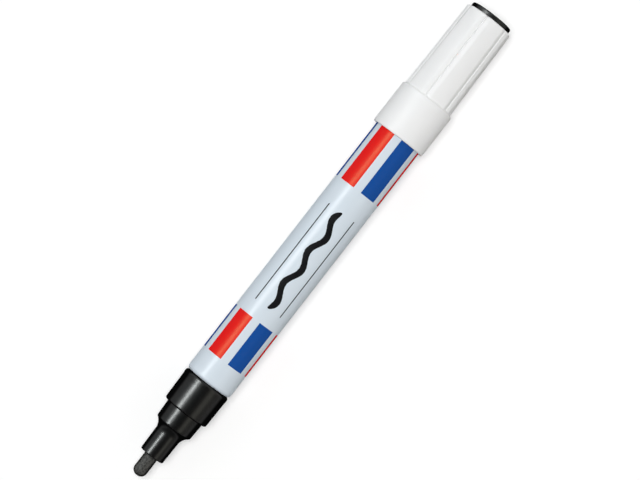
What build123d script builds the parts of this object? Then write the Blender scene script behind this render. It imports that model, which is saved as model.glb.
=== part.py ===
from build123d import *
from math import cos, pi, radians, sin, sqrt, tan
import os

# Paint marker lying along X, nib towards -X and cap posted on the tail towards +X, sizes in mm.
# Stations along the marker are counted from the nib's tip, and the finished pieces are then moved
# so that the origin lies on the table under the middle of the marker's length.

# Nib and its travel when it is pressed to open the valve
NIB_DIAMETER = 4.0
NIB_EXPOSED = 6.5
NIB_TRAVEL = 2.0
NIB_FIT = 0.08
NIB_REAR_CLEARANCE = 0.5
NIB_TIP_FLAT = 0.15

# Nose: nozzle round the nib, concave flare, and the land that the cap seals on
NOZZLE_WALL = 1.42
NOZZLE_LENGTH = 6.5
NOZZLE_RIM_RADIUS = 0.35
FLARE_LENGTH = 3.1
FLARE_CORNER_RADIUS = 0.5
LAND_LENGTH = 4.85
NOSE_WALL = 1.4
CHAMBER_SETBACK = 0.6
NOSE_SOCKET_DEPTH = 7.4
GUIDE_RIB_COUNT = 4
GUIDE_RIB_WIDTH = 0.8

# Collar between the nose and the barrel
LAND_STEP = 1.25
COLLAR_LENGTH = 9.75
COLLAR_EDGE_RADIUS = 0.4
COLLAR_STEP = 0.35
WEB_THICKNESS = 1.2
WEB_HOLE_ROOM = 0.4
SPIGOT_LENGTH = 9.5
NECK_WALL = 1.0
MOULDED_FIT = 0.05

# Barrel
BARREL_DIAMETER = 14.0
BARREL_LENGTH = 94.5
BARREL_WALL = 0.45
MOUTH_CURL_RADIUS = 1.0
MOUTH_LIP = 0.1
TAIL_WALL = 0.8
TAIL_CORNER_RADIUS = 1.2
TAIL_DIMPLE_DEPTH = 0.5
TAIL_DIMPLE_MARGIN = 2.2
TAIL_NECK_DEPTH = 0.1
TAIL_NECK_LENGTH = 0.8

# Rubber ring in the collar's spigot
SEAL_WIRE = 0.9
SEAL_SETBACK = 4.0
SEAL_FIT = 0.02
SEAL_GROOVE_PLAY = 0.1

# Valve
CASE_WALL = 0.9
CASE_FRONT_WALL = 1.2
CASE_FLANGE_THICKNESS = 1.0
CASE_FLANGE_MARGIN = 0.6
CASE_TAIL_LENGTH = 2.0
SEAT_THICKNESS = 1.0
ROD_DIAMETER = 1.8
ROD_FLOW_GAP = 0.7
HEAD_THICKNESS = 1.2
HEAD_EDGE_RADIUS = 0.3
HEAD_FLOW_GAP = 0.6
SPRING_WIRE = 0.5
SPRING_TURNS = 6
SPRING_SEAT_GAP = 0.02
RETAINER_PLUG_LENGTH = 1.4
RETAINER_RIM_THICKNESS = 0.8
RETAINER_HOLE_COUNT = 4
RETAINER_HOLE_DIAMETER = 1.1
GUIDE_FIT = 0.1

# Mixing ball
BALL_DIAMETER = 7.0
BALL_CLEARANCE = 0.1

# Cap, posted on the tail
POSTED_DEPTH = 11.6
POSTED_SEAT_GAP = 0.3
CAP_OVERLAP = 7.5
CAP_FIT = 0.05
SKIRT_WALL = 1.0
SKIRT_LENGTH = 12.75
SKIRT_MOUTH_RADIUS = 0.3
SKIRT_LEAD_IN = 0.3
SHOULDER_LENGTH = 0.8
SHOULDER_STEP = 0.68
SHOULDER_SINK = 0.1
BODY_DRAFT_ANGLE = 0.8
PANEL_COUNT = 6
PANEL_CROWN_RADIUS = 12.7
PANEL_TURN = 19.2
GROOVE_DIAMETER = 1.1
GROOVE_DEPTH = 0.3
END_CORNER_RADIUS = 0.7
CAP_END_WALL = 0.65
GRIP_RIB_COUNT = 6
GRIP_RIB_WIDTH = 0.8
GRIP_RIB_INSET = 1.2
GRIP_RIB_FIT = 0.04
COLLAR_ROOM = 0.12
COLLAR_END_GAP = 0.4
LINER_WALL = 0.65
LINER_END_WALL = 0.5
LAND_ROOM = 0.1
TIP_ROOM = 0.6
PLUG_MARGIN = 0.8
PLUG_THICKNESS = 1.3
PLUG_EDGE_RADIUS = 0.45
PLUG_SPIGOT_MARGIN = 2.6

# Radii worked out from the values above
nib_r = NIB_DIAMETER / 2
nib_bore_r = nib_r + NIB_FIT
nozzle_r = nib_bore_r + NOZZLE_WALL
barrel_r = BARREL_DIAMETER / 2
barrel_bore_r = barrel_r - BARREL_WALL
tail_r = barrel_r - TAIL_NECK_DEPTH
collar_r = barrel_r - COLLAR_STEP
land_r = collar_r - LAND_STEP
chamber_r = land_r - NOSE_WALL
socket_r = land_r + MOULDED_FIT
lip_r = barrel_r - MOUTH_CURL_RADIUS - MOUTH_LIP
neck_r = lip_r - MOULDED_FIT
spigot_r = barrel_bore_r - MOULDED_FIT
valve_bore_r = neck_r - NECK_WALL
case_r = valve_bore_r - MOULDED_FIT
case_bore_r = case_r - CASE_WALL
rod_r = ROD_DIAMETER / 2
flow_hole_r = rod_r + ROD_FLOW_GAP
head_r = case_bore_r - HEAD_FLOW_GAP
spring_r = (rod_r + head_r) / 2
wire_r = SPRING_WIRE / 2
seal_wire_r = SEAL_WIRE / 2
seal_r = barrel_bore_r - SEAL_FIT - seal_wire_r
ball_r = BALL_DIAMETER / 2
skirt_bore_r = barrel_r + CAP_FIT
skirt_r = skirt_bore_r + SKIRT_WALL
collar_bore_r = collar_r + COLLAR_ROOM
liner_bore_r = land_r + LAND_ROOM
liner_r = liner_bore_r + LINER_WALL
liner_pocket_r = liner_r + MOULDED_FIT
panel_r = skirt_r - SHOULDER_STEP

# Stations along the marker, from the nib's tip
nozzle_x = NIB_EXPOSED
flare_x = nozzle_x + NOZZLE_LENGTH
land_x = flare_x + FLARE_LENGTH
collar_x = land_x + LAND_LENGTH
mouth_x = collar_x + COLLAR_LENGTH
nose_end_x = collar_x + NOSE_SOCKET_DEPTH
case_x = nose_end_x + WEB_THICKNESS
nib_end_x = case_x - NIB_TRAVEL - NIB_REAR_CLEARANCE
spigot_end_x = mouth_x + SPIGOT_LENGTH
seat_x = case_x + CASE_FRONT_WALL
head_x = seat_x + SEAT_THICKNESS
spring_x = head_x + HEAD_THICKNESS
case_flange_end_x = spigot_end_x + CASE_FLANGE_THICKNESS
case_end_x = case_flange_end_x + CASE_TAIL_LENGTH
retainer_x = case_end_x - RETAINER_PLUG_LENGTH
retainer_end_x = case_end_x + RETAINER_RIM_THICKNESS
tail_x = mouth_x + BARREL_LENGTH
cap_x = tail_x - POSTED_DEPTH
neck_end_x = cap_x + TAIL_NECK_LENGTH
skirt_floor_x = tail_x + POSTED_SEAT_GAP
shoulder_x = cap_x + SKIRT_LENGTH
body_x = shoulder_x + SHOULDER_LENGTH
liner_x = cap_x + CAP_OVERLAP + COLLAR_LENGTH + COLLAR_END_GAP
liner_floor_x = cap_x + CAP_OVERLAP + mouth_x + TIP_ROOM
liner_end_x = liner_floor_x + LINER_END_WALL
cap_end_x = liner_end_x + CAP_END_WALL
marker_length = cap_end_x + PLUG_THICKNESS

# Sizes of the cap body where it ends
body_draft = tan(radians(BODY_DRAFT_ANGLE))
panel_end_r = panel_r - body_draft * (cap_end_x - body_x)
plug_r = panel_end_r - PLUG_MARGIN
plug_spigot_r = plug_r - PLUG_SPIGOT_MARGIN

# The mixing ball rolls along the lowest line of the barrel's bore
ball_drop = barrel_bore_r - ball_r - BALL_CLEARANCE
ball_front_x = retainer_end_x + NIB_TRAVEL + BALL_CLEARANCE + ball_r
ball_rear_x = tail_x - TAIL_WALL - TAIL_DIMPLE_DEPTH - BALL_CLEARANCE - ball_r
ball_x = (ball_front_x + ball_rear_x) / 2


def turned(*corners):
    """Solid turned about X from a closed half section of (station, radius, rounding) corners."""
    points = [(station, radius) for station, radius, rounding in corners]
    roundings = [rounding for station, radius, rounding in corners]
    return revolve(make_face(FilletPolyline(*points, radius=roundings, close=True)), Axis.X)


def bar(start_x, end_x, radius):
    """Plain round bar along X."""
    return turned((start_x, 0, 0), (end_x, 0, 0), (end_x, radius, 0), (start_x, radius, 0))


def tube(start_x, end_x, outer_r, inner_r):
    """Plain round tube along X."""
    return turned((start_x, inner_r, 0), (end_x, inner_r, 0), (end_x, outer_r, 0), (start_x, outer_r, 0))


def fins(count, start_x, end_x, inner_r, outer_r, width):
    """Radial fins round X, cut to a round inner and outer edge."""
    length = end_x - start_x
    blade = Pos((start_x + end_x) / 2, 0, outer_r / 2) * Box(length, width, outer_r)
    blades = [Rot(X=360 / count * index) * blade for index in range(count)]
    ring = tube(start_x, end_x, outer_r, inner_r)
    return [solid for one in blades for solid in (ring & one).solids()]


def make_barrel():
    """Drawn can: mouth rolled in over the collar's neck, tail necked a little under the cap."""
    floor_x = tail_x - TAIL_WALL
    dimple_r = tail_r - TAIL_DIMPLE_MARGIN
    dimple_floor_r = dimple_r - TAIL_DIMPLE_DEPTH
    return turned(
        (mouth_x, lip_r, 0),
        (mouth_x, barrel_r, MOUTH_CURL_RADIUS),
        (cap_x, barrel_r, 0),
        (neck_end_x, tail_r, 0),
        (tail_x, tail_r, TAIL_CORNER_RADIUS),
        (tail_x, dimple_r, 0),
        (tail_x - TAIL_DIMPLE_DEPTH, dimple_floor_r, 0),
        (tail_x - TAIL_DIMPLE_DEPTH, 0, 0),
        (floor_x - TAIL_DIMPLE_DEPTH, 0, 0),
        (floor_x - TAIL_DIMPLE_DEPTH, dimple_floor_r, 0),
        (floor_x, dimple_r, 0),
        (floor_x, barrel_bore_r, TAIL_CORNER_RADIUS - BARREL_WALL),
        (mouth_x + BARREL_WALL, barrel_bore_r, MOUTH_CURL_RADIUS - BARREL_WALL),
        (mouth_x + BARREL_WALL, lip_r, 0),
    )


def make_barrel_seal():
    """Rubber ring in the spigot's groove, against the barrel's bore."""
    return Pos(mouth_x + SEAL_SETBACK, 0, 0) * Rot(Y=90) * Torus(seal_r, seal_wire_r)


def make_front_collar():
    """Moulded collar with the nose's socket in front and the valve's bore behind a web."""
    spigot_x = mouth_x + MOUTH_CURL_RADIUS
    web_hole_r = nib_r + WEB_HOLE_ROOM
    body = turned(
        (collar_x, socket_r, 0),
        (collar_x, collar_r, COLLAR_EDGE_RADIUS),
        (mouth_x, collar_r, COLLAR_EDGE_RADIUS),
        (mouth_x, neck_r, 0),
        (spigot_x, neck_r, 0),
        (spigot_x, spigot_r, 0),
        (spigot_end_x, spigot_r, COLLAR_EDGE_RADIUS),
        (spigot_end_x, valve_bore_r, 0),
        (case_x, valve_bore_r, 0),
        (case_x, web_hole_r, 0),
        (nose_end_x, web_hole_r, 0),
        (nose_end_x, socket_r, 0),
    )
    groove_half = seal_wire_r + SEAL_GROOVE_PLAY
    seal_x = mouth_x + SEAL_SETBACK
    groove_floor_r = seal_r - seal_wire_r - SEAL_FIT
    return body - tube(seal_x - groove_half, seal_x + groove_half, barrel_r, groove_floor_r)


def make_nose_cone():
    """Moulded nose: nozzle, concave flare and sealing land, with ribs that guide the nib."""
    chamber_x = land_x + CHAMBER_SETBACK
    outline = Polyline((nozzle_x, nib_bore_r), (nozzle_x, nozzle_r), (flare_x, nozzle_r))
    outline += TangentArc((flare_x, nozzle_r), (land_x, land_r), tangent=(1, 0))
    outline += Polyline(
        (land_x, land_r),
        (nose_end_x, land_r),
        (nose_end_x, chamber_r),
        (chamber_x, chamber_r),
        (chamber_x, nib_bore_r),
        (nozzle_x, nib_bore_r),
    )
    section = make_face(outline)
    rim = section.vertices().sort_by_distance((nozzle_x, nozzle_r))[0]
    section = section.face().fillet_2d(NOZZLE_RIM_RADIUS, [rim])
    corner = section.vertices().sort_by_distance((land_x, land_r))[0]
    section = section.fillet_2d(FLARE_CORNER_RADIUS, [corner])
    ribs = fins(GUIDE_RIB_COUNT, chamber_x, nose_end_x, nib_bore_r, chamber_r, GUIDE_RIB_WIDTH)
    return revolve(section, Axis.X) + ribs


def make_nib():
    """Felt rod with a bullet tip."""
    return turned(
        (0, 0, 0),
        (0, nib_r, nib_r - NIB_TIP_FLAT),
        (nib_end_x, nib_r, 0),
        (nib_end_x, 0, 0),
    )


def make_valve_case():
    """Cup that stands in the collar's bore, with a flange on the spigot's end."""
    flange_r = spigot_r - CASE_FLANGE_MARGIN
    return turned(
        (case_x, flow_hole_r, 0),
        (case_x, case_r, 0),
        (spigot_end_x, case_r, 0),
        (spigot_end_x, flange_r, 0),
        (case_flange_end_x, flange_r, 0),
        (case_flange_end_x, case_r, 0),
        (case_end_x, case_r, 0),
        (case_end_x, case_bore_r, 0),
        (seat_x, case_bore_r, 0),
        (seat_x, flow_hole_r, 0),
    )


def make_valve_seat():
    """Rubber washer on the case's front wall, which the rod's head closes on."""
    return tube(seat_x, head_x, case_bore_r - MOULDED_FIT, flow_hole_r)


def make_valve_rod():
    """Plunger: front stem against the nib, head on the seat, rear stem in the retainer."""
    return turned(
        (nib_end_x, 0, 0),
        (nib_end_x, rod_r, 0),
        (head_x, rod_r, 0),
        (head_x, head_r, HEAD_EDGE_RADIUS),
        (spring_x, head_r, HEAD_EDGE_RADIUS),
        (spring_x, rod_r, 0),
        (retainer_end_x, rod_r, 0),
        (retainer_end_x, 0, 0),
    )


def make_valve_spring():
    """Round wire wound in a helix between the rod's head and the retainer."""
    start_x = spring_x + SPRING_SEAT_GAP + wire_r
    end_x = retainer_x - SPRING_SEAT_GAP - wire_r
    pitch = (end_x - start_x) / SPRING_TURNS

    def place(turn):
        angle = 2 * pi * turn
        return Vector(start_x + pitch * turn, spring_r * cos(angle), spring_r * sin(angle))

    def heading(turn):
        angle = 2 * pi * turn
        return Vector(pitch, -2 * pi * spring_r * sin(angle), 2 * pi * spring_r * cos(angle)).normalized()

    arcs = []
    for quarter in range(4 * SPRING_TURNS):
        start = place(quarter / 4)
        end = place((quarter + 1) / 4)
        leaving = heading(quarter / 4)
        arriving = heading((quarter + 1) / 4)
        # Two arcs that meet with one tangent, halfway between the two handles of equal length
        chord = end - start
        spread = 2 * (1 - leaving.dot(arriving))
        along = chord.dot(leaving + arriving)
        handle = (sqrt(along**2 + spread * chord.dot(chord)) - along) / spread
        middle = (start + leaving * handle + end - arriving * handle) / 2
        first = Edge.make_tangent_arc(start, leaving, middle)
        second = Edge.make_tangent_arc(middle, first % 1, end)
        arcs += [first, second]
    section = Plane(place(0), z_dir=heading(0)) * Circle(wire_r)
    return sweep(section, path=Wire(arcs))


def make_spring_retainer():
    """Perforated cap pressed into the case's rear, which guides the rod and carries the spring."""
    guide_r = rod_r + GUIDE_FIT
    plug_outer_r = case_bore_r - MOULDED_FIT
    disc = turned(
        (retainer_x, guide_r, 0),
        (retainer_x, plug_outer_r, 0),
        (case_end_x, plug_outer_r, 0),
        (case_end_x, case_r, 0),
        (retainer_end_x, case_r, 0),
        (retainer_end_x, guide_r, 0),
    )
    hole_place = Pos(0, 0, (guide_r + plug_outer_r) / 2)
    hole = hole_place * bar(retainer_x, retainer_end_x, RETAINER_HOLE_DIAMETER / 2)
    holes = [Rot(X=360 / RETAINER_HOLE_COUNT * index) * hole for index in range(RETAINER_HOLE_COUNT)]
    return disc - holes


def make_mixing_ball():
    """Steel ball lying on the lowest line of the barrel's bore."""
    return Pos(ball_x, 0, -ball_drop) * Sphere(ball_r)


def panel_corner_radius(panel_middle_r, crown_r):
    """Distance from the axis to the corner where two crowned panels meet."""
    offset = crown_r - panel_middle_r
    half_pitch = pi / PANEL_COUNT
    return sqrt(crown_r**2 - (offset * sin(half_pitch)) ** 2) - offset * cos(half_pitch)


def make_cap_body():
    """Tapered cap body of crowned panels with a groove along each corner, still solid inside."""
    offset = PANEL_CROWN_RADIUS - panel_r
    end_crown_r = panel_end_r + offset
    panel = Pos(0, 0, -offset) * turned(
        (shoulder_x, 0, 0),
        (shoulder_x, PANEL_CROWN_RADIUS + body_draft * SHOULDER_LENGTH, 0),
        (cap_end_x, end_crown_r, END_CORNER_RADIUS),
        (cap_end_x, 0, 0),
    )
    pitch = 360 / PANEL_COUNT
    body = Rot(X=PANEL_TURN) * panel
    for index in range(1, PANEL_COUNT):
        body = body & Rot(X=PANEL_TURN + pitch * index) * panel
    groove_r = GROOVE_DIAMETER / 2
    rise = groove_r - GROOVE_DEPTH
    start = Vector(body_x, 0, panel_corner_radius(panel_r, PANEL_CROWN_RADIUS) + rise)
    end = Vector(cap_end_x, 0, panel_corner_radius(panel_end_r, end_crown_r) + rise)
    run = end - start
    groove = Plane(start - run / 2, z_dir=run) * Cylinder(
        groove_r, 2 * run.length, align=(Align.CENTER, Align.CENTER, Align.MIN)
    )
    grooves = [Rot(X=PANEL_TURN + pitch * (index + 0.5)) * groove for index in range(PANEL_COUNT)]
    return body - grooves


def make_cap_shell():
    """Moulded cap: plain skirt, panelled body, stepped bore and grip ribs."""
    skirt = turned(
        (cap_x, 0, 0),
        (cap_x, skirt_r, SKIRT_MOUTH_RADIUS),
        (shoulder_x, skirt_r, SKIRT_MOUTH_RADIUS),
        (body_x, panel_r - SHOULDER_SINK, 0),
        (body_x, 0, 0),
    )
    inside = turned(
        (cap_x, 0, 0),
        (cap_x, skirt_bore_r + SKIRT_LEAD_IN, 0),
        (cap_x + SKIRT_LEAD_IN, skirt_bore_r, 0),
        (skirt_floor_x, skirt_bore_r, 0),
        (skirt_floor_x, collar_bore_r, 0),
        (liner_x, collar_bore_r, 0),
        (liner_x, liner_pocket_r, 0),
        (liner_end_x, liner_pocket_r, 0),
        (liner_end_x, plug_spigot_r + MOULDED_FIT, 0),
        (cap_end_x, plug_spigot_r + MOULDED_FIT, 0),
        (cap_end_x, 0, 0),
    )
    rib_inner_r = tail_r + GRIP_RIB_FIT
    rib_outer_r = skirt_bore_r + SKIRT_WALL / 2
    rib_x = neck_end_x + GRIP_RIB_INSET
    ribs = fins(GRIP_RIB_COUNT, rib_x, skirt_floor_x, rib_inner_r, rib_outer_r, GRIP_RIB_WIDTH)
    return skirt + make_cap_body() - inside + ribs


def make_cap_liner():
    """Inner cup that seals on the nose's land when the marker is capped."""
    return turned(
        (liner_x, liner_bore_r, 0),
        (liner_x, liner_r, 0),
        (liner_end_x, liner_r, 0),
        (liner_end_x, 0, 0),
        (liner_floor_x, 0, 0),
        (liner_floor_x, liner_bore_r, LINER_WALL),
    )


def make_cap_end_plug():
    """Colour plug: flange on the cap's end and a spigot through its end wall."""
    return turned(
        (liner_end_x, 0, 0),
        (liner_end_x, plug_spigot_r, 0),
        (cap_end_x, plug_spigot_r, 0),
        (cap_end_x, plug_r, 0),
        (marker_length, plug_r, PLUG_EDGE_RADIUS),
        (marker_length, 0, 0),
    )


pieces = {
    "barrel": make_barrel(),
    "barrel_seal": make_barrel_seal(),
    "front_collar": make_front_collar(),
    "nose_cone": make_nose_cone(),
    "nib": make_nib(),
    "valve_case": make_valve_case(),
    "valve_seat": make_valve_seat(),
    "valve_rod": make_valve_rod(),
    "valve_spring": make_valve_spring(),
    "spring_retainer": make_spring_retainer(),
    "mixing_ball": make_mixing_ball(),
    "cap_shell": make_cap_shell(),
    "cap_liner": make_cap_liner(),
    "cap_end_plug": make_cap_end_plug(),
}

os.makedirs("parts", exist_ok=True)
to_table = Pos(-marker_length / 2, 0, skirt_r)
for name, piece in pieces.items():
    export_step(to_table * piece, f"parts/{name}.step")
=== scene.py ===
import math

import bmesh
import bpy
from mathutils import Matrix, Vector, noise


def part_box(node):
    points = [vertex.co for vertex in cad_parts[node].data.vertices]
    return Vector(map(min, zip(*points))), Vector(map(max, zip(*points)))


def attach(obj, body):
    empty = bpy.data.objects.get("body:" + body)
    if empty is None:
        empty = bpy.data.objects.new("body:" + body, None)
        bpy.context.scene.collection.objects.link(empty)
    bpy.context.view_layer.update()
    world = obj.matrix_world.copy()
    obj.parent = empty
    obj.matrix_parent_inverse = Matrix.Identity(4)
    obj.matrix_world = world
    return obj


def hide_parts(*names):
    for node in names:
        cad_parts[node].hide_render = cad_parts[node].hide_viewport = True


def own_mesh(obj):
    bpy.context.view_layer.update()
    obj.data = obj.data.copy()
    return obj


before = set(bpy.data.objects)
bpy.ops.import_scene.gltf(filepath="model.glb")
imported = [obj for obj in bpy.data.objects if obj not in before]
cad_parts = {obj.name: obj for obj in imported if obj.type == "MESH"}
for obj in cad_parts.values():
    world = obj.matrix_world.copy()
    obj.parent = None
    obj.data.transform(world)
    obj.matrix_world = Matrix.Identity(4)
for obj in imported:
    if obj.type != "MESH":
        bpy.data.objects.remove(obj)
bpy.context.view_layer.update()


# Barrel: a can of drawn aluminium under a cool white gloss lacquer. Its mouth is rolled inwards over
# the collar's neck, its closed end is dished, and its tail is drawn in a little under the cap.
mm = 0.001
barrel_wall = 0.45 * mm
mouth_setback = 0.45 * mm
mouth_curl = 1.0 * mm
lip_flat = 0.1 * mm
neck_length = 0.8 * mm
neck_depth = 0.1 * mm
tail_wall = 0.8 * mm
tail_corner = 1.2 * mm
tail_rim = 2.2 * mm
dish_depth = 0.5 * mm
dish_ease = 0.3 * mm
barrel_low, barrel_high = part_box("barrel")
axis_z = (barrel_low.z + barrel_high.z) / 2
barrel_r = (barrel_high.z - barrel_low.z) / 2
bore_r = barrel_r - barrel_wall
lip_r = barrel_r - mouth_curl - lip_flat
tail_r = barrel_r - neck_depth
dish_r = tail_r - tail_rim
dish_floor_r = dish_r - dish_depth
mouth_x = barrel_low.x + mouth_setback
tail_x = barrel_high.x
cap_mouth_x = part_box("cap_shell")[0].x
neck_end_x = cap_mouth_x + neck_length
sharp_angle = math.radians(35)
gloss_fade = (0.2, 0.44)
lacquer_light = (0.65, 0.72, 0.785)
lacquer_deep = (0.62, 0.69, 0.755)
bare_aluminium = (0.62, 0.62, 0.63)


def rounded(corners, arc_steps=8, support=1.06):
    """Outline points with an arc at each (station, radius, rounding) corner that has a rounding.

    A support point beside each end of an arc keeps the straight run next to it flat in the shading.
    """
    points = []
    for index, (station, radius, rounding) in enumerate(corners):
        corner = Vector((station, radius))
        if rounding == 0:
            points.append(corner)
            continue
        back = (Vector(corners[index - 1][:2]) - corner).normalized()
        ahead = (Vector(corners[(index + 1) % len(corners)][:2]) - corner).normalized()
        half_angle = back.angle(ahead) / 2
        reach = rounding / math.tan(half_angle)
        centre = corner + (back + ahead).normalized() * rounding / math.sin(half_angle)
        first = corner + back * reach - centre
        last = corner + ahead * reach - centre
        points.append(corner + back * reach * support)
        for step in range(arc_steps + 1):
            points.append(centre + first.slerp(last, step / arc_steps) * rounding)
        points.append(corner + ahead * reach * support)
    return points


def on_round(station, reach, angle):
    """Point at a distance from the marker's axis; the angle is from straight up towards the front."""
    return station, -reach * math.sin(angle), axis_z + reach * math.cos(angle)


def turned(outline, steps=192):
    """Mesh turned about the marker's axis, where a radius may be a function of the angle.

    An outline that starts on the axis also ends there, and any other outline is a closed loop.
    """
    mesh = bmesh.new()
    angles = [math.tau * step / steps for step in range(steps)]
    rings = []
    for station, radius in outline:
        if radius == 0:
            rings.append([mesh.verts.new((station, 0, axis_z))])
        elif callable(radius):
            rings.append([mesh.verts.new(on_round(station, radius(angle), angle)) for angle in angles])
        else:
            rings.append([mesh.verts.new(on_round(station, radius, angle)) for angle in angles])
    pairs = list(zip(rings, rings[1:]))
    if len(rings[0]) > 1:
        pairs.append((rings[-1], rings[0]))
    for near, far in pairs:
        for step in range(steps):
            after = step + 1
            corners = [
                near[step % len(near)],
                near[after % len(near)],
                far[after % len(far)],
                far[step % len(far)],
            ]
            mesh.faces.new(list(dict.fromkeys(corners)))
    bmesh.ops.recalc_face_normals(mesh, faces=mesh.faces)
    return mesh


def add_piece(name, mesh, finish):
    """Object made of this mesh, shaded smooth between its sharp edges."""
    data = bpy.data.meshes.new(name)
    mesh.to_mesh(data)
    mesh.free()
    data.shade_smooth()
    data.set_sharp_from_angle(angle=sharp_angle)
    data.materials.append(finish)
    piece = bpy.data.objects.new(name, data)
    bpy.context.scene.collection.objects.link(piece)
    return piece


class Signal:
    """A node's output in a finish; arithmetic on it adds Math nodes."""

    def __init__(self, socket):
        self.socket = socket

    def node(self, kind, settings, sockets, output=0):
        """Adds a node of this kind: its settings first, then the values or links of its sockets."""
        tree = self.socket.id_data
        added = tree.nodes.new(kind)
        for setting, value in settings.items():
            setattr(added, setting, value)
        for name, value in sockets.items():
            if isinstance(value, Signal):
                tree.links.new(value.socket, added.inputs[name])
            else:
                added.inputs[name].default_value = value
        return Signal(added.outputs[output]) if added.outputs else None

    def math(self, operation, first, second):
        """Adds a Math node that does this to two values or signals."""
        return self.node("ShaderNodeMath", {"operation": operation}, {0: first, 1: second})

    def __add__(self, other):
        return self.math("ADD", self, other)

    def __sub__(self, other):
        return self.math("SUBTRACT", self, other)

    def __rsub__(self, other):
        return self.math("SUBTRACT", other, self)

    def __mul__(self, other):
        return self.math("MULTIPLY", self, other)

    __radd__ = __add__
    __rmul__ = __mul__


def new_finish(name):
    """Empty finish, and the place of each surface point in millimetres of the marker's frame."""
    finish = bpy.data.materials.new(name)
    finish.use_nodes = True
    finish.node_tree.nodes.clear()
    place = Signal(finish.node_tree.nodes.new("ShaderNodeTexCoord").outputs["Object"])
    scale = {"operation": "SCALE"}
    return finish, place.node("ShaderNodeVectorMath", scale, {"Vector": place, "Scale": 1 / mm})


def part_of(place, axis):
    """One component of a place."""
    return place.node("ShaderNodeSeparateXYZ", {}, {"Vector": place}, axis)


def stretched(place, along, across):
    """Place in which patterns run longer or shorter along the marker than across it."""
    factors = (1 / along, 1 / across, 1 / across)
    return place.node("ShaderNodeVectorMath", {"operation": "MULTIPLY"}, {0: place, 1: factors})


def mottle(place, size, detail=2.0):
    """Random pattern from about 0.25 to 0.75, in patches of about this many millimetres."""
    pattern = {"Vector": place, "Scale": 1 / size, "Detail": detail}
    return place.node("ShaderNodeTexNoise", {}, pattern)


def rise(signal, low, high):
    """0 below the low value and 1 above the high one, smooth between them."""
    smooth = {"interpolation_type": "SMOOTHSTEP"}
    limits = {"Value": signal, "From Min": low, "From Max": high}
    return signal.node("ShaderNodeMapRange", smooth, limits)


def tinted(share, first, second):
    """Colour from the first to the second as the share goes from 0 to 1; either may be a signal.

    A Mix node has its two colours at inputs 6 and 7, and the mixed colour at output 2.
    """
    ends = [end if isinstance(end, Signal) else (*end, 1) for end in (first, second)]
    return share.node("ShaderNodeMix", {"data_type": "RGBA"}, {0: share, 6: ends[0], 7: ends[1]}, 2)


def relief(height, depth):
    """Normal of a surface whose height signal is this many metres deep."""
    return height.node("ShaderNodeBump", {}, {"Distance": depth, "Height": height})


def close_gloss(place, sockets):
    """Ends a finish with a shader of these values and signals, whose gloss fades at a flat angle."""
    flatness = place.node("ShaderNodeLayerWeight", {}, {"Blend": 0.5}, "Facing")
    gloss = place.node("ShaderNodeBsdfPrincipled", {}, sockets)
    dull = place.node("ShaderNodeBsdfPrincipled", {}, sockets | {"Specular IOR Level": 0.0})
    surface = place.node("ShaderNodeMixShader", {}, {0: rise(flatness, *gloss_fade), 1: gloss, 2: dull})
    place.node("ShaderNodeOutputMaterial", {}, {"Surface": surface})


def gloss_lacquer():
    """Baked white lacquer with a faint orange peel, rubbed to bare metal in spots on the rolled lip."""
    finish, place = new_finish("gloss_lacquer")
    along = part_of(place, "X")
    lip = 1 - rise(along, low=mouth_x / mm + 0.1, high=mouth_x / mm + 0.45)
    rubbed = lip * rise(mottle(place, size=0.5), low=0.56, high=0.64)
    tone = tinted(mottle(place, size=9), lacquer_deep, lacquer_light)
    streaks = mottle(stretched(place, along=6, across=0.5), size=1.2)
    handling = rise(streaks, low=0.55, high=0.75)
    close_gloss(place, {
        "Base Color": tinted(rubbed, tone, bare_aluminium),
        "Metallic": rubbed,
        "Roughness": 0.28 + 0.06 * handling + 0.08 * mottle(place, size=3),
        "Specular IOR Level": 0.27,
        "Normal": relief(mottle(place, size=0.8), depth=5e-6),
    })
    return finish


barrel_mesh = turned(rounded([
    (tail_x - tail_wall - dish_depth, 0, 0),
    (tail_x - tail_wall - dish_depth, dish_floor_r, dish_ease),
    (tail_x - tail_wall, dish_r, dish_ease),
    (tail_x - tail_wall, bore_r, tail_corner - barrel_wall),
    (mouth_x + barrel_wall, bore_r, mouth_curl - barrel_wall),
    (mouth_x + barrel_wall, lip_r, 0),
    (mouth_x, lip_r, 0),
    (mouth_x, barrel_r, mouth_curl),
    (cap_mouth_x, barrel_r, 0),
    (neck_end_x, tail_r, 0),
    (tail_x, tail_r, tail_corner),
    (tail_x, dish_r, dish_ease),
    (tail_x - dish_depth, dish_floor_r, dish_ease),
    (tail_x - dish_depth, 0, 0),
]))
barrel = add_piece("lacquered_barrel", barrel_mesh, gloss_lacquer())
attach(barrel, "marker_body")
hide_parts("barrel")


# Bars: plain red and blue bars, screen printed round the barrel in turn, one group behind the mouth
# and one that runs in under the cap. They are films of ink on the lacquer.
bar_count = 6
bar_pitch = 360 / bar_count
bar_spread = 40.5
bar_columns = 24
first_bar_turn = -30.2
front_bars_x = mouth_x + 7.35 * mm
front_bars_end_x = mouth_x + 21.25 * mm
rear_bars_x = mouth_x + 64.75 * mm
rear_bars_end_x = neck_end_x + 3.6 * mm
ink_rise = 0.012 * mm
ink_root = 0.03 * mm
ink_thinning = 0.94
lacquer_show = 0.004
red_ink = (0.76, 0.007, 0.009)
red_sheen = (1.0, 1.0, 0.5)
blue_ink = (0.005, 0.070, 0.315)
plain_sheen = (1.0, 1.0, 1.0)


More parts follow.
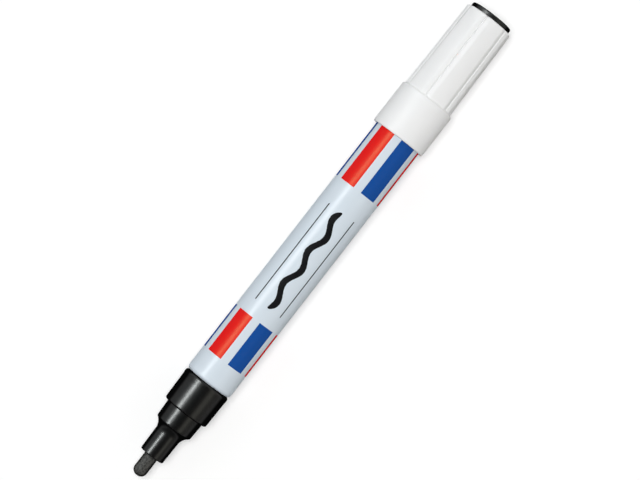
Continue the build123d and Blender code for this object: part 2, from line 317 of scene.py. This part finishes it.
def add_film(mesh, rows, across):
    """Adds a closed film of ink to a mesh, this many columns across.

    Each row is (station, barrel radius, first angle, last angle), with its angles in degrees.
    """
    sheets = []
    for lift in (ink_rise, -ink_root):
        sheet = []
        for station, radius, first, last in rows:
            angles = [math.radians(first + (last - first) * step / across) for step in range(across + 1)]
            sheet.append([mesh.verts.new(on_round(station, radius + lift, angle)) for angle in angles])
        for row, after in zip(sheet, sheet[1:]):
            for step in range(across):
                mesh.faces.new((row[step], row[step + 1], after[step + 1], after[step]))
        sheets.append(sheet)
    rims = []
    for sheet in sheets:
        ends = [row[-1] for row in sheet[1:-1]]
        starts = [row[0] for row in sheet[-2:0:-1]]
        rims.append(sheet[0] + ends + sheet[-1][::-1] + starts)
    top, root = rims
    for index in range(len(top)):
        mesh.faces.new((top[index - 1], top[index], root[index], root[index - 1]))


def screen_ink(name, colour, sheen):
    """Opaque ink with the faint unevenness that the screen leaves, and a sheen of its own colour."""
    finish, place = new_finish(name)
    thin_patch = tuple(ink_thinning * channel + lacquer_show for channel in colour)
    thinness = rise(mottle(place, size=0.7, detail=4), low=0.35, high=0.7)
    close_gloss(place, {
        "Base Color": tinted(thinness, colour, thin_patch),
        "Roughness": 0.26 + 0.1 * mottle(place, size=1.5, detail=3),
        "Specular IOR Level": 0.13,
        "Specular Tint": (*sheen, 1),
        "Normal": relief(mottle(place, size=0.35, detail=3), depth=4e-6),
    })
    return finish


bar_inks = (("red_bars", red_ink, red_sheen), ("blue_bars", blue_ink, plain_sheen))
for first_bar, (bars_name, bars_ink, sheen) in enumerate(bar_inks):
    bars_mesh = bmesh.new()
    for bar in range(first_bar, bar_count, 2):
        low_edge = first_bar_turn + bar_pitch * bar - bar_spread / 2
        edges = (low_edge, low_edge + bar_spread)
        add_film(bars_mesh, [
            (front_bars_x, barrel_r, *edges),
            (front_bars_end_x, barrel_r, *edges),
        ], bar_columns)
        add_film(bars_mesh, [
            (rear_bars_x, barrel_r, *edges),
            (cap_mouth_x, barrel_r, *edges),
            (neck_end_x, tail_r, *edges),
            (rear_bars_end_x, tail_r, *edges),
        ], bar_columns)
    bmesh.ops.recalc_face_normals(bars_mesh, faces=bars_mesh.faces)
    bars = add_piece(bars_name, bars_mesh, screen_ink(bars_name + "_ink", bars_ink, sheen))
    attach(bars, "marker_body")


# Paint sample: a plain wavy stroke between two thin rules, printed in black between the groups of
# bars to show the paint's colour and the width of its line. The same kind of ink film as the bars.
sample_x = mouth_x + 25.55 * mm
sample_end_x = mouth_x + 57.55 * mm
sample_turn = 4.0
sample_waves = 3
sample_swing = 7.5
sample_spread = 15.0
sample_ends = 0.07
sample_rows = 160
sample_columns = 12
sample_ragged = 0.8
ragged_waves = 60
other_edge = 9
rule_turns = (-32.0, 40.0)
rule_spread = 2.6
rule_columns = 3
black_ink = (0.006, 0.006, 0.007)

sample_mesh = bmesh.new()
stroke_rows = []
for row in range(sample_rows + 1):
    share = row / sample_rows
    station = sample_x + (sample_end_x - sample_x) * share
    middle = sample_turn + sample_swing * math.sin(math.tau * sample_waves * share)
    to_end = min(share, 1 - share) / sample_ends
    fullness = math.sqrt(1 - (1 - min(to_end, 1)) ** 2)
    half_spread = max(sample_spread * fullness, sample_ragged) / 2
    upper = half_spread + sample_ragged * noise.noise((share * ragged_waves, 0, 0))
    lower = half_spread + sample_ragged * noise.noise((share * ragged_waves, other_edge, 0))
    stroke_rows.append((station, barrel_r, middle - upper, middle + lower))
add_film(sample_mesh, stroke_rows, sample_columns)
for turn in rule_turns:
    rule_edges = (turn - rule_spread / 2, turn + rule_spread / 2)
    add_film(sample_mesh, [
        (sample_x, barrel_r, *rule_edges),
        (sample_end_x, barrel_r, *rule_edges),
    ], rule_columns)
bmesh.ops.recalc_face_normals(sample_mesh, faces=sample_mesh.faces)
sample = add_piece("paint_sample", sample_mesh, screen_ink("sample_ink", black_ink, plain_sheen))
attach(sample, "marker_body")


# Barrel seal and valve seat: a ring and a washer of black nitrile rubber, moulded, with a dull skin.
# The ring sits in the collar's groove against the barrel, the washer on the valve case's front wall.
rubber_black = (0.022, 0.022, 0.023)
rubber_bloom = (0.045, 0.045, 0.046)


def close_finish(place, sockets):
    """Ends a finish with a shader of these values and signals."""
    surface = place.node("ShaderNodeBsdfPrincipled", {}, sockets)
    place.node("ShaderNodeOutputMaterial", {}, {"Surface": surface})


def dull_rubber():
    """Moulded rubber with a little grey bloom."""
    finish, place = new_finish("dull_rubber")
    bloom = rise(mottle(place, size=1.2, detail=4), low=0.45, high=0.75)
    close_finish(place, {
        "Base Color": tinted(bloom, rubber_black, rubber_bloom),
        "Roughness": 0.62 + 0.2 * mottle(place, size=0.6, detail=3),
        "Normal": relief(mottle(place, size=0.15, detail=3), depth=8e-6),
    })
    return finish


def refinish(node, finish):
    """Gives a piece that keeps its own mesh a better finish."""
    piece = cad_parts[node]
    piece.data.materials.clear()
    piece.data.materials.append(finish)


rubber = dull_rubber()
refinish("barrel_seal", rubber)
refinish("valve_seat", rubber)


# Collar: injection moulded in glossy black plastic, with mould draft and a lip that runs out to the
# barrel. Its spigot is held in the barrel's rolled mouth with the seal in a groove, the nose is
# pressed into its front, and the valve into its bore.
collar_setback = 0.2 * mm
collar_edge = 0.55 * mm
collar_front_draft = 0.05 * mm
collar_rear_draft = 0.2 * mm
collar_lip_length = 2.1 * mm
collar_lip_height = 0.38 * mm
collar_lip_edge = 0.9 * mm
collar_neck_wall = 1.0 * mm
collar_web = 1.2 * mm
web_hole_play = 0.4 * mm
moulded_fit = 0.05 * mm
seal_play = 0.1 * mm
seal_bed_play = 0.02 * mm
collar_low, collar_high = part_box("front_collar")
nose_low, nose_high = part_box("nose_cone")
nib_low, nib_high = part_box("nib")
seal_low, seal_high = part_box("barrel_seal")
collar_r = (collar_high.z - collar_low.z) / 2
collar_front_r = collar_r + collar_front_draft
collar_rear_r = collar_r + collar_rear_draft
collar_lip_r = collar_r + collar_lip_height
collar_neck_r = lip_r - moulded_fit
spigot_r = bore_r - moulded_fit
valve_bore_r = collar_neck_r - collar_neck_wall
land_r = (nose_high.z - nose_low.z) / 2
socket_r = land_r + moulded_fit
nib_r = (nib_high.z - nib_low.z) / 2
web_hole_r = nib_r + web_hole_play
seal_r = (seal_high.z - seal_low.z) / 2
seal_floor_r = seal_r - (seal_high.x - seal_low.x) - seal_bed_play
collar_x = collar_low.x + collar_setback
collar_lip_x = mouth_x - collar_lip_length
spigot_x = mouth_x + mouth_curl
spigot_end_x = collar_high.x
nose_end_x = nose_high.x
valve_x = nose_end_x + collar_web
collar_black = (0.0020, 0.0020, 0.0021)
collar_grey = (0.0036, 0.0036, 0.0037)


def gloss_black(name, roughness):
    """Glossy black moulding with a faint flow pattern and fine rubs along the marker."""
    finish, place = new_finish(name)
    rubs = rise(mottle(stretched(place, along=5, across=0.12), size=1), low=0.6, high=0.72)
    flow = mottle(stretched(place, along=1, across=2.5), size=2.2)
    close_gloss(place, {
        "Base Color": tinted(mottle(place, size=4), collar_black, collar_grey),
        "Roughness": roughness + 0.06 * flow + 0.05 * rubs,
        "IOR": 1.49,
        "Normal": relief(flow, depth=2e-6),
    })
    return finish


front_black = gloss_black("front_black", roughness=0.26)
collar_mesh = turned(rounded([
    (collar_x, socket_r, 0),
    (collar_x, collar_front_r, collar_edge),
    (collar_lip_x, collar_rear_r, collar_edge),
    (mouth_x, collar_lip_r, collar_lip_edge),
    (mouth_x, collar_neck_r, 0),
    (spigot_x, collar_neck_r, 0),
    (spigot_x, spigot_r, 0),
    (seal_low.x - seal_play, spigot_r, 0),
    (seal_low.x - seal_play, seal_floor_r, 0),
    (seal_high.x + seal_play, seal_floor_r, 0),
    (seal_high.x + seal_play, spigot_r, 0),
    (spigot_end_x, spigot_r, collar_edge),
    (spigot_end_x, valve_bore_r, 0),
    (valve_x, valve_bore_r, 0),
    (valve_x, web_hole_r, 0),
    (nose_end_x, web_hole_r, 0),
    (nose_end_x, socket_r, 0),
]))
collar = add_piece("black_collar", collar_mesh, front_black)
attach(collar, "marker_body")
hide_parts("front_collar")


# Nose: a second moulding in the same black plastic, with a nozzle round the nib, a hollow flare and a
# land that the cap seals on, all with mould draft. Four ribs inside guide the nib, and its tail is
# pressed into the collar.
nozzle_length = 6.5 * mm
nozzle_play = 0.08 * mm
nozzle_wall = 1.5 * mm
nozzle_draft = 0.12 * mm
nozzle_rim = 0.35 * mm
bore_chamfer = 0.12 * mm
flare_length = 3.1 * mm
flare_steps = 14
flare_margin = 1.3
land_front_draft = 0.05 * mm
land_rear_draft = 0.27 * mm
land_corner = 0.6 * mm
land_gap = 0.08 * mm
chamber_end = 0.6 * mm
chamber_wall = 1.4 * mm
guide_rib_count = 4
guide_rib_half = math.radians(8)
weld_distance = 0.001 * mm
nozzle_bore_r = nib_r + nozzle_play
nozzle_r = nozzle_bore_r + nozzle_wall
nozzle_root_r = nozzle_r + nozzle_draft
land_front_r = land_r + land_front_draft
land_rear_r = land_r + land_rear_draft
chamber_r = land_r - chamber_wall
nozzle_x = nose_low.x
flare_x = nozzle_x + nozzle_length
land_x = flare_x + flare_length
land_end_x = collar_x - land_gap
chamber_x = land_x + chamber_end

# The hollow arc of the flare stops a little before the rounding of the land's corner.
flare_rise = land_front_r - nozzle_root_r
flare_r = ((land_x - flare_x) ** 2 + flare_rise**2) / (2 * flare_rise)
flare_turn = math.asin((land_x - flare_x) / flare_r)
flare_stop = flare_turn - flare_margin * land_corner * math.tan(flare_turn / 2) / flare_r
flare_angles = [flare_stop * step / flare_steps for step in range(flare_steps + 1)]
flare = [
    (flare_x + flare_r * math.sin(angle), nozzle_root_r + flare_r * (1 - math.cos(angle)), 0)
    for angle in flare_angles
]


def guided_chamber(angle):
    """Radius of the nose's chamber, which drops to the nib's bore at each guide rib."""
    rib_pitch = math.tau / guide_rib_count
    from_rib = abs((angle + rib_pitch / 2) % rib_pitch - rib_pitch / 2)
    return nozzle_bore_r if from_rib < guide_rib_half else chamber_r


nose_mesh = turned(rounded([
    (nozzle_x + bore_chamfer, nozzle_bore_r, 0),
    (nozzle_x, nozzle_bore_r + bore_chamfer, 0),
    (nozzle_x, nozzle_r, nozzle_rim),
    *flare,
    (land_x, land_front_r, land_corner),
    (land_end_x, land_rear_r, 0),
    (land_end_x, land_r, 0),
    (nose_end_x, land_r, 0),
]) + [
    (nose_end_x, guided_chamber),
    (chamber_x, guided_chamber),
    (chamber_x, nozzle_bore_r),
])
bmesh.ops.remove_doubles(nose_mesh, verts=nose_mesh.verts, dist=weld_distance)
nose = add_piece("black_nose", nose_mesh, front_black)
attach(nose, "marker_body")
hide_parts("nose_cone")


# Nib: a rod of pressed polyester fibres ground to a bullet tip, dark with dried paint. It slides in
# the nose, and its rear end stands against the valve's rod.
nib_tip_flat = 0.15 * mm
nib_end_rounding = 0.2 * mm
nib_row = 0.1 * mm
fibre_lift = 0.022 * mm
pile_lift = 0.02 * mm
nib_tip_x = nib_low.x
nib_end_x = nib_high.x
nib_shown = nozzle_x - nib_tip_x
nib_tip_rounding = nib_r - nib_tip_flat
felt_dark = (0.007, 0.007, 0.007)
felt_light = (0.077, 0.076, 0.070)


def pressed_felt():
    """Matt fibres along the nib; a painted highlight lightens its upper side towards the far side,
    painted shade darkens the rest, and it is darker in the pits of its bump.
    """
    finish, place = new_finish("pressed_felt")
    fibres = mottle(stretched(place, along=1.6, across=0.16), size=1, detail=3)
    pits = rise(mottle(place, size=0.5, detail=3), low=0.36, high=0.6)
    # Painted highlight and shade: the nib's colour is lighter on its upper side, leaning a little to the
    # far side, and darker round the rest.
    height = part_of(place, "Z") - axis_z / mm + 0.12 * part_of(place, "Y")
    painted_highlight_top = rise(height + mottle(place, size=0.9), low=1.1, high=2.1)
    close_gloss(place, {
        "Base Color": tinted(painted_highlight_top * (0.35 * fibres + 0.65 * pits), felt_dark, felt_light),
        "Roughness": 0.55 + 0.2 * fibres,
        "Specular IOR Level": 0.4,
        "Normal": relief(fibres + 0.7 * pits, depth=5e-5),
    })
    return finish


nib_rows = [
    (nozzle_x - nib_row * row, nib_r, 0)
    for row in range(int((nib_shown - nib_r) / nib_row))
]
nib_mesh = turned(rounded([
    (nib_end_x, 0, 0),
    (nib_end_x, nib_r, nib_end_rounding),
    *nib_rows,
    (nib_tip_x, nib_r, nib_tip_rounding),
    (nib_tip_x, 0, 0),
], arc_steps=24), steps=128)
nib_mesh.normal_update()

# The texture's sizes are in millimetres. The noise seldom passes the peak named here, so the texture
# sinks the surface and hardly lifts it.
fibre_length = 1.5
fibre_width = 0.16
pile_size = 0.28
noise_peak = 0.5
for vertex in nib_mesh.verts:
    if vertex.co.x < nozzle_x:
        along, aside, up = vertex.co / mm
        ridge = noise.noise((along / fibre_length, aside / fibre_width, up / fibre_width))
        pile = noise.noise((along / pile_size, aside / pile_size, up / pile_size))
        sunk = fibre_lift * (ridge - noise_peak) + pile_lift * (pile - noise_peak)
        vertex.co += vertex.normal * sunk
nib = add_piece("felt_nib", nib_mesh, pressed_felt())
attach(nib, "nib_and_valve")
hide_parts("nib")


# Valve mouldings: case, rod and retainer in natural acetal, a hard milky plastic that paint doesn't
# attack. The case stands in the collar's bore, the rod slides in it, and the retainer closes it.
acetal_pale = (0.76, 0.755, 0.73)
acetal_deep = (0.70, 0.695, 0.665)


def natural_acetal():
    """Milky unpigmented plastic with a satin skin."""
    finish, place = new_finish("natural_acetal")
    close_finish(place, {
        "Base Color": tinted(mottle(place, size=2.5), acetal_deep, acetal_pale),
        "Roughness": 0.36 + 0.14 * mottle(place, size=1.2, detail=3),
        "Subsurface Weight": 0.2,
        "Subsurface Radius": (1.0, 0.9, 0.75),
        "Subsurface Scale": 0.5 * mm,
        "Normal": relief(mottle(place, size=0.3, detail=3), depth=5e-6),
    })
    return finish


acetal = natural_acetal()
for moulding in ("valve_case", "valve_rod", "spring_retainer"):
    refinish(moulding, acetal)


# Valve spring: stainless wire wound cold, with its end turns against the rod's head and the retainer.
# It is squeezed towards the retainer when the nib is pressed in.
wire_r = 0.25 * mm
spring_turns = 6
spring_points_a_turn = 40
spring_low, spring_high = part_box("valve_spring")
spring_mean_r = (spring_high.y - spring_low.y) / 2 - wire_r
wire_grey = (0.56, 0.555, 0.55)
wire_shade = (0.40, 0.395, 0.39)


def drawn_wire():
    """Drawn stainless wire with fine die marks."""
    finish, place = new_finish("drawn_wire")
    marks = mottle(stretched(place, along=0.4, across=0.08), size=1, detail=3)
    close_finish(place, {
        "Base Color": tinted(marks, wire_shade, wire_grey),
        "Metallic": 1.0,
        "Roughness": 0.24 + 0.16 * marks,
        "Normal": relief(marks, depth=4e-6),
    })
    return finish


spring_curve = bpy.data.curves.new("spring_wire", "CURVE")
spring_curve.dimensions = "3D"
spring_curve.bevel_depth = wire_r
spring_curve.bevel_resolution = 4
spring_curve.use_fill_caps = True
spring_line = spring_curve.splines.new("POLY")
spring_line.points.add(spring_turns * spring_points_a_turn)
for index, point in enumerate(spring_line.points):
    share = index / (spring_turns * spring_points_a_turn)
    turn = math.tau * spring_turns * share
    wire_x = spring_low.x + wire_r + (spring_high.x - spring_low.x - 2 * wire_r) * share
    coil_y = spring_mean_r * math.cos(turn)
    coil_z = axis_z + spring_mean_r * math.sin(turn)
    point.co = (wire_x, coil_y, coil_z, 1)
wound_wire = bpy.data.objects.new("spring_wire", spring_curve)
spring_mesh = bmesh.new()
spring_mesh.from_mesh(bpy.data.meshes.new_from_object(wound_wire))
bpy.data.objects.remove(wound_wire)
spring = add_piece("wound_spring", spring_mesh, drawn_wire())
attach(spring, "marker_body")
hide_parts("valve_spring")
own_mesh(spring)


# Mixing ball: a hardened steel ball, ground and polished, loose in the barrel to stir the paint when
# the marker is shaken.
ball_bright = (0.66, 0.655, 0.65)
ball_dull = (0.52, 0.515, 0.51)


def polished_steel():
    """Polished steel with faint wear tracks."""
    finish, place = new_finish("polished_steel")
    tracks = rise(mottle(place, size=0.9, detail=5), low=0.5, high=0.7)
    close_finish(place, {
        "Base Color": tinted(tracks, ball_bright, ball_dull),
        "Metallic": 1.0,
        "Roughness": 0.1 + 0.14 * tracks,
        "Normal": relief(mottle(place, size=0.5, detail=3), depth=2e-6),
    })
    return finish


refinish("mixing_ball", polished_steel())


# Cap: moulded in white polypropylene, with a plain round skirt and a body of six crowned panels that
# taper a little and roll off to a groove between each two. Six ribs in the skirt grip the barrel's
# tail.
skirt_length = 12.75 * mm
skirt_play = 0.05 * mm
skirt_edge = 0.3 * mm
lead_in = 0.3 * mm
tail_room = 0.3 * mm
collar_room = 0.12 * mm
shoulder_length = 0.8 * mm
shoulder_sink = 0.25 * mm
shoulder_ease = 0.06 * mm
shoulder_steps = 8
first_shoulder_step = 3
panel_count = 6
panel_turn = math.radians(20.8)
panel_step = 0.72 * mm
panel_crown_r = 13.4 * mm
roll_width = 1.65 * mm
roll_drop = 0.64 * mm
roll_power = 1.3
groove_half = 0.28 * mm
groove_depth = 0.33 * mm
body_draft = math.tan(math.radians(0.8))
body_rows = 10
end_corner = 0.7 * mm
end_rows = 8
grip_rib_count = 6
grip_rib_half_width = 0.4 * mm
grip_rib_play = 0.04 * mm
grip_rib_inset = 1.2 * mm
grip_rib_ease = 0.15 * mm
plug_overlap = 2.6 * mm
cap_low, cap_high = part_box("cap_shell")
liner_low, liner_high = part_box("cap_liner")
plug_low, plug_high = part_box("cap_end_plug")
skirt_r = (cap_high.z - cap_low.z) / 2
skirt_bore_r = barrel_r + skirt_play
panel_r = skirt_r - panel_step
shoulder_end_r = panel_r - shoulder_sink
grip_rib_r = tail_r + grip_rib_play
grip_rib_half = grip_rib_half_width / skirt_bore_r
collar_room_r = collar_r + collar_room
liner_r = (liner_high.z - liner_low.z) / 2
pocket_r = liner_r + moulded_fit
plug_r = (plug_high.z - plug_low.z) / 2
plug_spigot_r = plug_r - plug_overlap
plug_hole_r = plug_spigot_r + moulded_fit
shoulder_x = cap_mouth_x + skirt_length
body_x = shoulder_x + shoulder_length
cap_end_x = cap_high.x
skirt_floor_x = tail_x + tail_room
grip_rib_x = neck_end_x + grip_rib_inset
cap_white = (0.845, 0.848, 0.85)
cap_shade = (0.815, 0.818, 0.822)


def most(first, second, ease):
    """The larger of two radii, with the corner where they cross eased."""
    blend = max(ease - abs(first - second), 0) / ease
    return max(first, second) + blend**2 * ease / 4


def panelled(station, angle):
    """Radius of the cap's body: a crowned panel, rolled off to a groove at each of its corners."""
    pitch = math.tau / panel_count
    offset = panel_crown_r - panel_r
    crown = panel_crown_r - body_draft * (station - body_x)
    from_middle = abs((angle - panel_turn + pitch / 2) % pitch - pitch / 2)
    face = math.sqrt(crown**2 - (offset * math.sin(from_middle)) ** 2) - offset * math.cos(from_middle)
    corner = math.sqrt(crown**2 - (offset * math.sin(pitch / 2)) ** 2) - offset * math.cos(pitch / 2)
    from_groove = corner * (pitch / 2 - from_middle)
    roll = max(1 - from_groove / roll_width, 0)
    surface = face - roll_drop * roll**roll_power
    if from_groove < groove_half:
        surface -= groove_depth * (1 + math.cos(math.pi * from_groove / groove_half)) / 2
    return surface


def gripping(angle):
    """Radius of the skirt's bore, which drops to the tail at each grip rib."""
    pitch = math.tau / grip_rib_count
    from_rib = abs((angle + pitch / 2) % pitch - pitch / 2)
    return grip_rib_r if from_rib < grip_rib_half else skirt_bore_r


def white_polypropylene():
    """White moulding with a satin gloss, a little light under its skin and faint flow marks."""
    finish, place = new_finish("white_polypropylene")
    flow = mottle(stretched(place, along=3, across=1.2), size=2)
    scuffs = rise(mottle(stretched(place, along=2.5, across=0.2), size=1), low=0.6, high=0.75)
    close_gloss(place, {
        "Base Color": tinted(mottle(place, size=6), cap_shade, cap_white),
        "Roughness": 0.46 + 0.1 * flow + 0.06 * scuffs,
        "Specular IOR Level": 0.33,
        "Subsurface Weight": 0.12,
        "Subsurface Radius": (1.0, 0.95, 0.9),
        "Subsurface Scale": 0.5 * mm,
        "Normal": relief(flow + 0.1 * scuffs, depth=7e-6),
    })
    return finish


shoulder = [
    (
        shoulder_x + (body_x - shoulder_x) * step / shoulder_steps,
        skirt_r + (shoulder_end_r - skirt_r) * step / shoulder_steps,
        0,
    )
    for step in range(first_shoulder_step, shoulder_steps + 1)
]
skirt = rounded([
    (cap_mouth_x, skirt_bore_r + lead_in, 0),
    (cap_mouth_x, skirt_r, skirt_edge),
    (shoulder_x, skirt_r, skirt_edge),
    *shoulder,
])
cap_outline = []
for station, radius in skirt:
    if station < shoulder_x - skirt_edge:
        cap_outline.append((station, radius))
    else:
        cap_outline.append((
            station,
            lambda angle, x=station, cone=radius: most(cone, panelled(x, angle), shoulder_ease),
        ))
body_length = cap_end_x - end_corner - body_x
for row in range(1, body_rows + 1):
    station = body_x + body_length * row / body_rows
    cap_outline.append((station, lambda angle, x=station: panelled(x, angle)))
for row in range(1, end_rows + 1):
    quarter = math.pi / 2 * row / end_rows
    station = cap_end_x - end_corner * (1 - math.sin(quarter))
    inset = end_corner * (1 - math.cos(quarter))
    cap_outline.append((station, lambda angle, x=station, cut=inset: panelled(x, angle) - cut))
cap_outline += [
    (cap_end_x, plug_hole_r),
    (liner_high.x, plug_hole_r),
    (liner_high.x, pocket_r),
    (liner_low.x, pocket_r),
    (liner_low.x, collar_room_r),
    (skirt_floor_x, collar_room_r),
    (skirt_floor_x, gripping),
    (grip_rib_x + grip_rib_ease, gripping),
    (grip_rib_x, skirt_bore_r),
    (cap_mouth_x + lead_in, skirt_bore_r),
]
cap = add_piece("white_cap", turned(cap_outline, steps=720), white_polypropylene())
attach(cap, "cap")
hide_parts("cap_shell")


# Cap liner: a thin cup of natural polyethylene pressed into the cap, which closes on the nose's land
# and keeps the nib wet when the marker is capped.
liner_wall = 0.65 * mm
liner_floor = 0.5 * mm
liner_floor_rounding = 0.65 * mm
liner_rim = 0.2 * mm
liner_bore_r = liner_r - liner_wall
liner_floor_x = liner_high.x - liner_floor
liner_pale = (0.80, 0.81, 0.81)
liner_deep = (0.74, 0.75, 0.75)


def natural_polyethylene():
    """Waxy unpigmented plastic."""
    finish, place = new_finish("natural_polyethylene")
    close_finish(place, {
        "Base Color": tinted(mottle(place, size=3), liner_deep, liner_pale),
        "Roughness": 0.42 + 0.16 * mottle(place, size=1.4, detail=3),
        "Subsurface Weight": 0.25,
        "Subsurface Radius": (1.0, 0.95, 0.9),
        "Subsurface Scale": 0.6 * mm,
        "Normal": relief(mottle(place, size=0.5, detail=3), depth=6e-6),
    })
    return finish


liner_mesh = turned(rounded([
    (liner_floor_x, 0, 0),
    (liner_floor_x, liner_bore_r, liner_floor_rounding),
    (liner_low.x, liner_bore_r, liner_rim),
    (liner_low.x, liner_r, liner_rim),
    (liner_high.x, liner_r, liner_rim),
    (liner_high.x, 0, 0),
]))
liner = add_piece("inner_cup", liner_mesh, natural_polyethylene())
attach(liner, "cap")
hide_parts("cap_liner")


# End plug: a black disc that shows the paint's colour, moulded in glossy plastic with a small gate
# mark in the middle. Its spigot is pressed through the cap's end wall.
plug_edge = 0.45 * mm
plug_back_edge = 0.1 * mm
gate_r = 0.9 * mm
gate_depth = 0.12 * mm
gate_ease = 0.1 * mm

plug_mesh = turned(rounded([
    (plug_low.x, 0, 0),
    (plug_low.x, plug_spigot_r, 0),
    (cap_end_x, plug_spigot_r, 0),
    (cap_end_x, plug_r, plug_back_edge),
    (plug_high.x, plug_r, plug_edge),
    (plug_high.x, gate_r + gate_depth, gate_ease),
    (plug_high.x - gate_depth, gate_r, gate_ease),
    (plug_high.x - gate_depth, 0, 0),
]))
plug = add_piece("black_end_plug", plug_mesh, gloss_black("plug_black", roughness=0.34))
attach(plug, "cap")
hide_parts("cap_end_plug")


# Floor: a wide sheet of matt paper on a light table, which the marker lies on. A little light comes
# up through the paper, so that its shadows are pale. It isn't part of the object.
floor_side = 3.0
floor_cells = 8
floor_white = (0.63, 0.63, 0.63)
floor_grey = (0.62, 0.62, 0.62)
floor_glow = (0.385, 0.385, 0.385)


def matt_paper():
    """Matt paper with a faint tooth, whose own light is only seen and doesn't light the marker."""
    finish, place = new_finish("matt_paper")
    seen = 0.0
    for ray in ("Is Camera Ray", "Is Glossy Ray", "Is Transmission Ray"):
        seen = seen + place.node("ShaderNodeLightPath", {}, {}, ray)
    close_finish(place, {
        "Base Color": tinted(mottle(place, size=25), floor_grey, floor_white),
        "Roughness": 0.88 + 0.1 * mottle(place, size=2),
        "Specular IOR Level": 0.15,
        "Emission Color": tinted(seen, (0, 0, 0), floor_glow),
        "Emission Strength": 1.0,
        "Normal": relief(mottle(place, size=0.6), depth=6e-6),
    })
    return finish


floor_mesh = bmesh.new()
bmesh.ops.create_grid(floor_mesh, x_segments=floor_cells, y_segments=floor_cells, size=floor_side / 2)
floor = add_piece("paper_floor", floor_mesh, matt_paper())


# Light: a softbox above the camera lights the paper and the marker. A strip lamp on the far side and a
# weak panel on the near side only show in the gloss. The dim room is warm on the near side, cool on
# the far side, dark overhead, and brighter towards the cap's end than towards the nib's.
softbox_height = 1.5
softbox_side = 0.5
softbox_lean = math.radians(4)
softbox_level = 0.825
strip_tilt = math.radians(38)
strip_distance = 0.6
strip_length = 0.55
strip_width = 0.105
strip_radiance = 26.0
strip_tint = (0.955, 1.0, 0.995)
side_tilt = math.radians(-43)
side_distance = 0.6
side_length = 0.8
side_width = 0.24
side_radiance = 0.78
side_tint = (1.0, 0.99, 0.86)
room_near = 0.34
room_far = 0.46
room_top = 0.03
near_tint = (1.0, 0.965, 0.90)
far_tint = (0.94, 0.985, 1.0)
cap_end_gain = 0.4


def add_lamp(name, length, width, tilt, distance, energy):
    """Rectangular lamp along the marker, tilted from straight above towards the far side."""
    light = bpy.data.lights.new(name, "AREA")
    light.shape = "RECTANGLE"
    light.size = length
    light.size_y = width
    light.energy = energy
    lamp = bpy.data.objects.new(name, light)
    away = Vector((0, math.sin(tilt), math.cos(tilt)))
    lamp.location = Vector((0, 0, axis_z)) + away * distance
    lamp.rotation_mode = "QUATERNION"
    lamp.rotation_quaternion = away.to_track_quat("Z", "Y")
    bpy.context.scene.collection.objects.link(lamp)
    return lamp


# The softbox's level is how bright it makes a white sheet below it.
softbox_energy = softbox_level * math.pi**2 * softbox_height**2
softbox = add_lamp("softbox", softbox_side, softbox_side, softbox_lean, softbox_height, softbox_energy)
softbox.visible_glossy = False
strip_energy = strip_radiance * math.pi * strip_length * strip_width
strip = add_lamp("strip_lamp", strip_length, strip_width, strip_tilt, strip_distance, strip_energy)
strip.visible_diffuse = False
strip.data.color = strip_tint
side_energy = side_radiance * math.pi * side_length * side_width
side_panel = add_lamp("side_panel", side_length, side_width, side_tilt, side_distance, side_energy)
side_panel.visible_diffuse = False
side_panel.data.color = side_tint

room = bpy.data.worlds.new("dim_room")
room.use_nodes = True
room.node_tree.nodes.clear()
towards = Signal(room.node_tree.nodes.new("ShaderNodeTexCoord").outputs["Generated"])
far_side = rise(part_of(towards, "Y"), low=-0.5, high=0.3)
side_level = room_near + (room_far - room_near) * far_side
overhead = rise(part_of(towards, "Z"), low=0.7, high=0.9)
lengthwise = part_of(towards, "X")
end_level = 1 + lengthwise.math("MINIMUM", lengthwise, cap_end_gain)
level = (side_level * (1 - overhead) + room_top * overhead) * end_level
tint = tinted(far_side, near_tint, far_tint)
room_light = level.node("ShaderNodeBackground", {}, {"Color": tint, "Strength": level})
room_light.node("ShaderNodeOutputWorld", {}, {"Surface": room_light})
bpy.context.scene.world = room


# Camera: a long lens straight above the marker, turned so that the nib points to the lower left and
# the cap to the upper right.
camera_height = 0.78
camera_aside = (2.05 * mm, -0.28 * mm)
camera_turn = math.radians(-52.21)
camera_lens = 164.5
camera_sensor = 36

camera_data = bpy.data.cameras.new("camera")
camera_data.lens = camera_lens
camera_data.sensor_width = camera_sensor
camera = bpy.data.objects.new("camera", camera_data)
camera.location = (*camera_aside, axis_z + camera_height)
camera.rotation_euler = (0, 0, camera_turn)
bpy.context.scene.collection.objects.link(camera)
bpy.context.scene.camera = camera
bpy.context.scene.view_settings.view_transform = "Standard"
